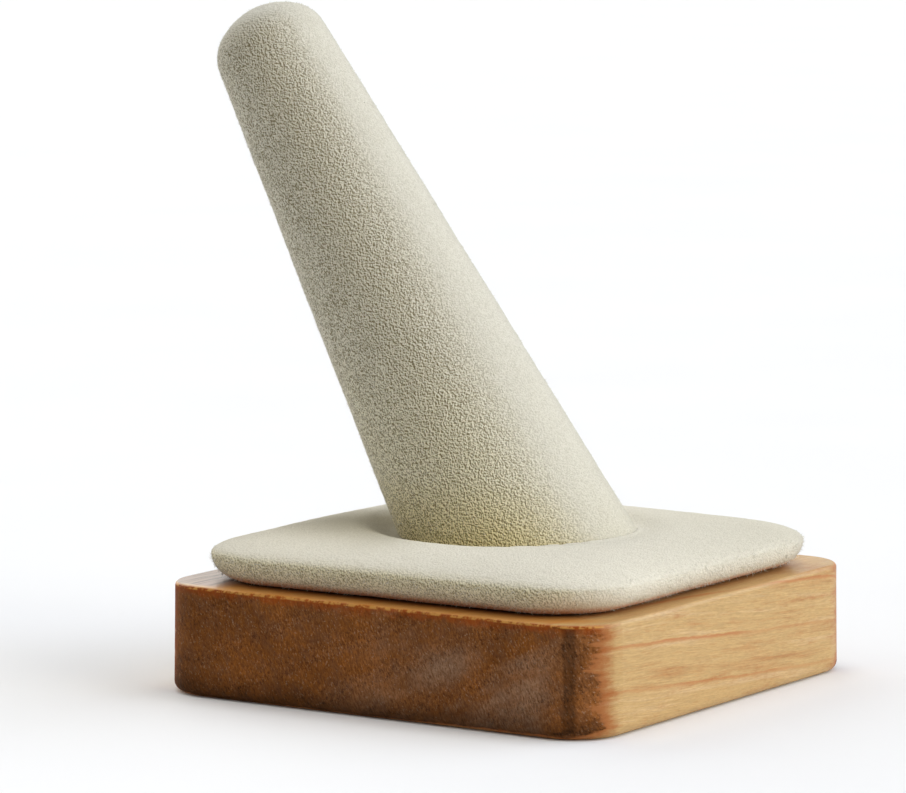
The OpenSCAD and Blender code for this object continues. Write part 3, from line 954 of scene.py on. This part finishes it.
def loose_fibres(name, made, outside, count, slot, sizes, colours, seed, keep, longer=1.0, above=0.0):
    """Single fibres of the nap, each a thin bent spike that stands on the suede and ends above a level."""
    points, normals = vertex_frame(made)
    draw = np.random.default_rng(seed)
    roots = draw.choice(outside, size=count)
    roots = roots[keep(points[roots], normals[roots])]
    count = len(roots)
    # Each root is scattered about its vertex, over the surface, and is set 0.05 mm into the suede
    at = points[roots] + draw.normal(0, 0.07, (count, 3))
    up = normals[roots]
    at -= up * ((at - points[roots]) * up).sum(1)[:, None]
    lie = draw.normal(0, 1, (count, 3))
    lie = unit(lie - up * (lie * up).sum(1)[:, None])
    tall = longer * sizes.nap / MM * draw.uniform(0.35, 1.0, count) ** 1.3
    lean = draw.uniform(0.5, 1.6, count)
    base = at - up * 0.05
    # Above the knee a fibre leans 2.2 times as far
    knee = at + unit(up + lie * lean[:, None]) * (tall * 0.55)[:, None]
    tip = knee + unit(up + lie * (lean * 2.2)[:, None]) * (tall * 0.6)[:, None]
    free = tip[:, 2] > above
    base, knee, tip, up, lie = base[free], knee[free], tip[free], up[free], lie[free]
    count = len(tip)
    sideways = np.cross(up, lie)
    # A fibre of 0.02 mm would vanish between pixels, so it is drawn at 0.045 mm
    thick = 0.045 * draw.uniform(0.7, 1.2, count)
    verts = np.empty((count, 7, 3))
    for k in range(3):
        turn = 2 * pi / 3 * k
        corner = cos(turn) * sideways + sin(turn) * lie
        verts[:, k] = base + corner * (thick * 0.6)[:, None]
        verts[:, 3 + k] = knee + corner * (thick * 0.45)[:, None]
    verts[:, 6] = tip
    spike = [(2, 1, 0)]
    for k in range(3):
        j = (k + 1) % 3
        spike += [(k, j, 3 + j, 3 + k), (3 + k, 3 + j, 6)]
    faces = [tuple(7 * i + v for v in face) for i in range(count) for face in spike]
    material = fibre_material("Suede fibres, loose, " + slot.replace("_suede", ""), colours)
    hairs = new_object(name, verts.reshape(-1, 3), faces, material)
    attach(hairs, ROOT)
    return hairs


def give(node, material):
    """Gives a CAD node its finish."""
    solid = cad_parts[node]
    for slot in solid.material_slots:
        slot.material = material
    if not solid.material_slots:
        solid.data.materials.append(material)


class RINGSTAND_OT_block(bpy.types.Operator):
    """Finishes the hardwood block"""
    bl_idname = "ring_stand.block"
    bl_label = "Hardwood block"

    def execute(self, context):
        give("base_block", hardwood_material("Ash, satin lacquered", context.scene.stand_colours))
        return {"FINISHED"}


class RINGSTAND_OT_deck(bpy.types.Operator):
    """Makes the deck: its suede cover, the foam and the board inside"""
    bl_idname = "ring_stand.deck"
    bl_label = "Padded deck"

    def execute(self, context):
        sizes, colours = context.scene.stand_sizes, context.scene.stand_colours
        give("deck_board", hardboard_material("Hardboard, pressed", colours))
        cover, outside, form = deck_cover(sizes, colours)
        deck_foam(sizes, colours, form)

        seed = context.scene.studio_settings.seed
        # The nap stands off the deck's sides, up to its shoulder, and lies flat on top
        loose_fibres("deck_suede_fibres", cover, outside, 9000, "deck_suede", sizes, colours, seed,
                     lambda points, normals: (normals[:, 2] < 0.86) & (points[:, 2] < 15.3), above=BLOCK_HIGH[2])
        # Longer fibres hang out below the widest line, where the suede goes down to the block
        loose_fibres("deck_edge_fibres", cover, outside, 16000, "deck_suede", sizes, colours, seed + 2,
                     lambda points, normals: ((normals[:, 2] < 0.2) & (points[:, 2] < 14.6)
                                              & (points[:, 2] > 12.0)), longer=1.9, above=BLOCK_HIGH[2])
        return {"FINISHED"}


class RINGSTAND_OT_finger(bpy.types.Operator):
    """Makes the finger: its suede sleeve, the core and the screw inside"""
    bl_idname = "ring_stand.finger"
    bl_label = "Suede finger"

    def execute(self, context):
        sizes, colours = context.scene.stand_sizes, context.scene.stand_colours
        give("finger_core", turned_softwood_material("Softwood, turned", colours))
        give("finger_screw", zinc_material("Steel, bright zinc plated", colours))
        cover, outside = finger_cover(sizes, colours)
        # None stand in the crease round the foot, which ends 16.5 mm up
        loose_fibres("finger_suede_fibres", cover, outside, 10000, "finger_suede", sizes, colours,
                     context.scene.studio_settings.seed + 1, lambda points, normals: points[:, 2] > 16.5)
        return {"FINISHED"}


class RINGSTAND_OT_stage(bpy.types.Operator):
    """Sets up the pale floor, the soft light and the camera"""
    bl_idname = "ring_stand.stage"
    bl_label = "Studio"

    def execute(self, context):
        scene = context.scene
        studio, colours = scene.studio_settings, scene.stand_colours
        make_floor(colours)
        make_room(scene, studio)
        make_lights(studio)
        make_camera(scene)
        return {"FINISHED"}


def make_floor(colours):
    """A round of white paper, wide enough to fill any view."""
    shell = Shell()
    turns = np.linspace(0, 2 * pi, 97)[:-1]
    circle = np.column_stack([np.cos(turns), np.sin(turns)])
    rings = shell.loft([lifted(circle * r, 0) for r in (4000, 1200, 400, 120)])
    shell.cap(rings[-1], (0, 0, 0))
    floor = shell.to_object("studio_floor", paper_material("Background paper, matt", colours))


def make_room(scene, studio):
    """The surroundings: white to look at and in reflections, but the lamps do the lighting."""
    world = bpy.data.worlds.new("Studio room")
    scene.world = world
    world.use_nodes = True
    tree = world.node_tree
    tree.nodes.clear()
    path = add(tree, "LightPath")
    seen = add(tree, MATH, (path.outputs["Is Camera Ray"], path.outputs["Is Glossy Ray"]), operation="MAXIMUM")
    brightness = add(tree, MATH, (seen, studio.backdrop), operation="MULTIPLY")
    white = add(tree, "Background", {"Color": (1, 1, 1, 1), "Strength": brightness})
    add(tree, "OutputWorld", {"Surface": white})
    scene.view_settings.view_transform = "Standard"


def make_lights(studio):
    """Five wide soft lights: in front, on the right, behind, overhead and a weak one behind on the left."""
    lamps = (
        # Name, strength, tint, the way towards the lamp, and its width in degrees
        ("front_light", studio.front, (1.05, 0.98, 0.83), (0.0, -0.96, 0.22), 45),
        ("side_light", studio.side, (0.92, 0.99, 1.12), (0.58, -0.58, 0.50), 66),
        ("back_light", studio.back, (1.03, 1.0, 0.93), (0.30, 0.82, 0.34), 72),
        ("fill_light", studio.fill, (1.0, 1.0, 1.0), (-0.70, 0.50, 0.50), 55),
        ("top_light", studio.top, (0.99, 1.0, 1.01), (0.03, 0.0, 1.0), 45),
    )
    for name, energy, tint, towards, spread in lamps:
        data = bpy.data.lights.new(name, "SUN")
        data.energy = energy
        data.angle = radians(spread)
        data.color = tint
        lamp = bpy.data.objects.new(name, data)
        lamp.location = towards
        lamp.rotation_euler = Vector(towards).to_track_quat("Z", "Y").to_euler()
        bpy.context.collection.objects.link(lamp)


def make_camera(scene):
    """The camera, where the outlines of block, deck and finger put the photograph's."""
    aim = Vector((-3.27, 5.01, 30.17)) * MM
    back = Vector((-0.8313, -0.5424, 0.1214)).normalized()
    data = bpy.data.cameras.new("Camera")
    data.sensor_width = 36.0
    data.lens = 199.0
    data.clip_start = 0.01
    data.clip_end = 20.0
    camera = bpy.data.objects.new("Camera", data)
    place = aim + back * 527.6 * MM
    turn = (-back).to_track_quat("-Z", "Y").to_matrix().to_4x4()
    camera.matrix_world = Matrix.Translation(place) @ turn
    bpy.context.collection.objects.link(camera)
    scene.camera = camera


class RINGSTAND_PT_panel(bpy.types.Panel):
    """Lists the stand's pieces, sizes, colours and light"""
    bl_idname = "RINGSTAND_PT_panel"
    bl_label = "Ring Stand"
    bl_space_type = "VIEW_3D"
    bl_region_type = "UI"
    bl_category = "Ring Stand"

    def draw(self, context):
        layout = self.layout
        for operator in OPERATORS:
            layout.operator(operator.bl_idname)
        for title, group in (("Sizes", context.scene.stand_sizes), ("Colours", context.scene.stand_colours),
                             ("Studio", context.scene.studio_settings)):
            box = layout.box()
            box.label(text=title)
            for name in group.__annotations__:
                box.prop(group, name)


OPERATORS = (RINGSTAND_OT_stage, RINGSTAND_OT_block, RINGSTAND_OT_deck, RINGSTAND_OT_finger)
GROUPS = {"stand_sizes": StandSizes, "stand_colours": StandColours, "studio_settings": StudioSettings}


def register():
    for group in GROUPS.values():
        bpy.utils.register_class(group)
    for operator in OPERATORS:
        bpy.utils.register_class(operator)
    bpy.utils.register_class(RINGSTAND_PT_panel)
    for name, group in GROUPS.items():
        setattr(bpy.types.Scene, name, PointerProperty(type=group))


def unregister():
    for name in GROUPS:
        delattr(bpy.types.Scene, name)
    bpy.utils.unregister_class(RINGSTAND_PT_panel)
    for operator in reversed(OPERATORS):
        bpy.utils.unregister_class(operator)
    for group in reversed(list(GROUPS.values())):
        bpy.utils.unregister_class(group)


def main():
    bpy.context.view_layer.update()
    register()
    bpy.ops.ring_stand.stage()
    bpy.ops.ring_stand.block()
    bpy.ops.ring_stand.deck()
    bpy.ops.ring_stand.finger()


if __name__ == "__main__":
    main()
